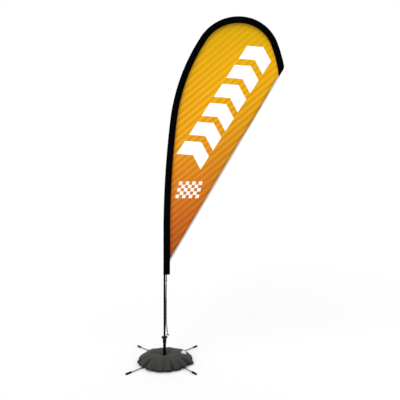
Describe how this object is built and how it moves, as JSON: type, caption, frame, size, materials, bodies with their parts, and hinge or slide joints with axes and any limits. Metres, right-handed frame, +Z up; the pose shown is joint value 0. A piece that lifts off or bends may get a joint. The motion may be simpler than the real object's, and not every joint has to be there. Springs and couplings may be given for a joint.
{
  "type": "teardrop flag",
  "caption": "Double-sided teardrop flag on a bent pole, turning on a spindle in a folding cross base weighted by a ring-shaped water bag.",
  "frame": {"origin": "on the floor, on the pole's axis, under the middle of the cross base", "axes": "+Z up along the pole; +X from the pole towards the flag, which hangs in the XZ plane; +Y to the back"},
  "size_m": [1.4263, 0.6106, 3.2047],
  "materials": {
    "black_steel": "satin",
    "chrome": "polished",
    "steel": "satin",
    "bearing_steel": "polished",
    "brass_cage": "satin",
    "black_rubber": "matte",
    "black_plastic": "matte",
    "nylon": "satin",
    "clear_white_plastic": "gloss",
    "black_aluminium": "satin",
    "black_glass_fibre": "satin",
    "bag_fabric": "matte",
    "sleeve_fabric": "matte",
    "printed_fabric": "matte",
    "liner_fabric": "matte",
    "white_tape": "matte",
    "black_webbing": "matte",
    "elastic_cord": "matte"
  },
  "bodies": {
    "base": {"lower_crossbar": "black_steel", "lower_leg_rods": "chrome", "lower_leg_tips": "black_rubber", "pivot_bolt": "steel", "floor_pad": "black_rubber", "fold_washer": "nylon", "bearing_housing": "black_steel", "bearing_outer_race": "bearing_steel", "bearing_snap_ring": "steel"},
    "swing_legs": {"upper_crossbar": "black_steel", "upper_leg_rods": "chrome", "upper_leg_tips": "black_rubber"},
    "ball_cage": {"bearing_balls": "bearing_steel", "bearing_cage": "brass_cage"},
    "spindle": {"spindle": "steel", "bearing_inner_race": "bearing_steel", "spindle_circlip": "steel"},
    "pole": {"foot_tube": "black_aluminium", "lower_bush": "nylon", "upper_bush": "nylon", "pole_collar": "black_plastic", "lower_pole": "black_aluminium", "second_pole": "black_aluminium", "third_pole": "black_glass_fibre", "tip_rod": "black_glass_fibre", "second_ferrule": "steel", "third_ferrule": "steel", "rod_tip_cap": "black_rubber", "pole_sleeve": "sleeve_fabric", "tip_pocket": "sleeve_fabric", "front_panel": "printed_fabric", "blockout_liner": "liner_fabric", "back_panel": "printed_fabric", "edge_hem": "white_tape", "anchor_webbing": "black_webbing", "anchor_ring": "black_steel", "bungee_cord": "elastic_cord"},
    "tension_ring": {"tension_ring": "black_plastic", "cord_hook": "black_steel"},
    "thumb_screw": {"thumb_screw": "black_plastic"},
    "water_bag": {"bag_top": "bag_fabric", "bag_bottom": "bag_fabric", "bag_piping": "black_webbing", "filler_neck": "clear_white_plastic"},
    "filler_cap": {"filler_cap": "clear_white_plastic", "filler_seal": "black_rubber"}
  },
  "joints": [
    {"name": "leg_fold", "type": "hinge", "parent": "base", "child": "swing_legs", "pos_m": [0, 0, 0.0205], "axis": [0, 0, 1], "range_deg": [0, 80]},
    {"name": "flag_spin", "type": "hinge", "parent": "base", "child": "spindle", "pos_m": [0, 0, 0.0395], "axis": [0, 0, 1], "continuous": true},
    {"name": "cage_spin", "type": "hinge", "parent": "base", "child": "ball_cage", "pos_m": [0, 0, 0.0395], "axis": [0, 0, 1], "continuous": true},
    {"name": "pole_lift", "type": "slide", "parent": "spindle", "child": "pole", "axis": [0, 0, 1], "range_m": [0, 0.1]},
    {"name": "ring_slide", "type": "slide", "parent": "pole", "child": "tension_ring", "axis": [0, 0, 1], "range_m": [0, 0.06], "deforming": ["bungee_cord"]},
    {"name": "screw_turn", "type": "hinge", "parent": "tension_ring", "child": "thumb_screw", "pos_m": [-0.015, 0, 0.20925], "axis": [1, 0, 0], "range_deg": [0, 360]},
    {"name": "bag_lift", "type": "slide", "parent": "base", "child": "water_bag", "axis": [0, 0, 1], "range_m": [0, 0.12]},
    {"name": "cap_turn", "type": "hinge", "parent": "water_bag", "child": "filler_cap", "pos_m": [0.17781, 0.02183, 0.0538], "axis": [0.2476, 0.0304, 0.9684], "range_deg": [0, 360]}
  ],
  "couplings": [
    {"joint": "cage_spin", "follows": "flag_spin", "ratio": 0.38}
  ]
}
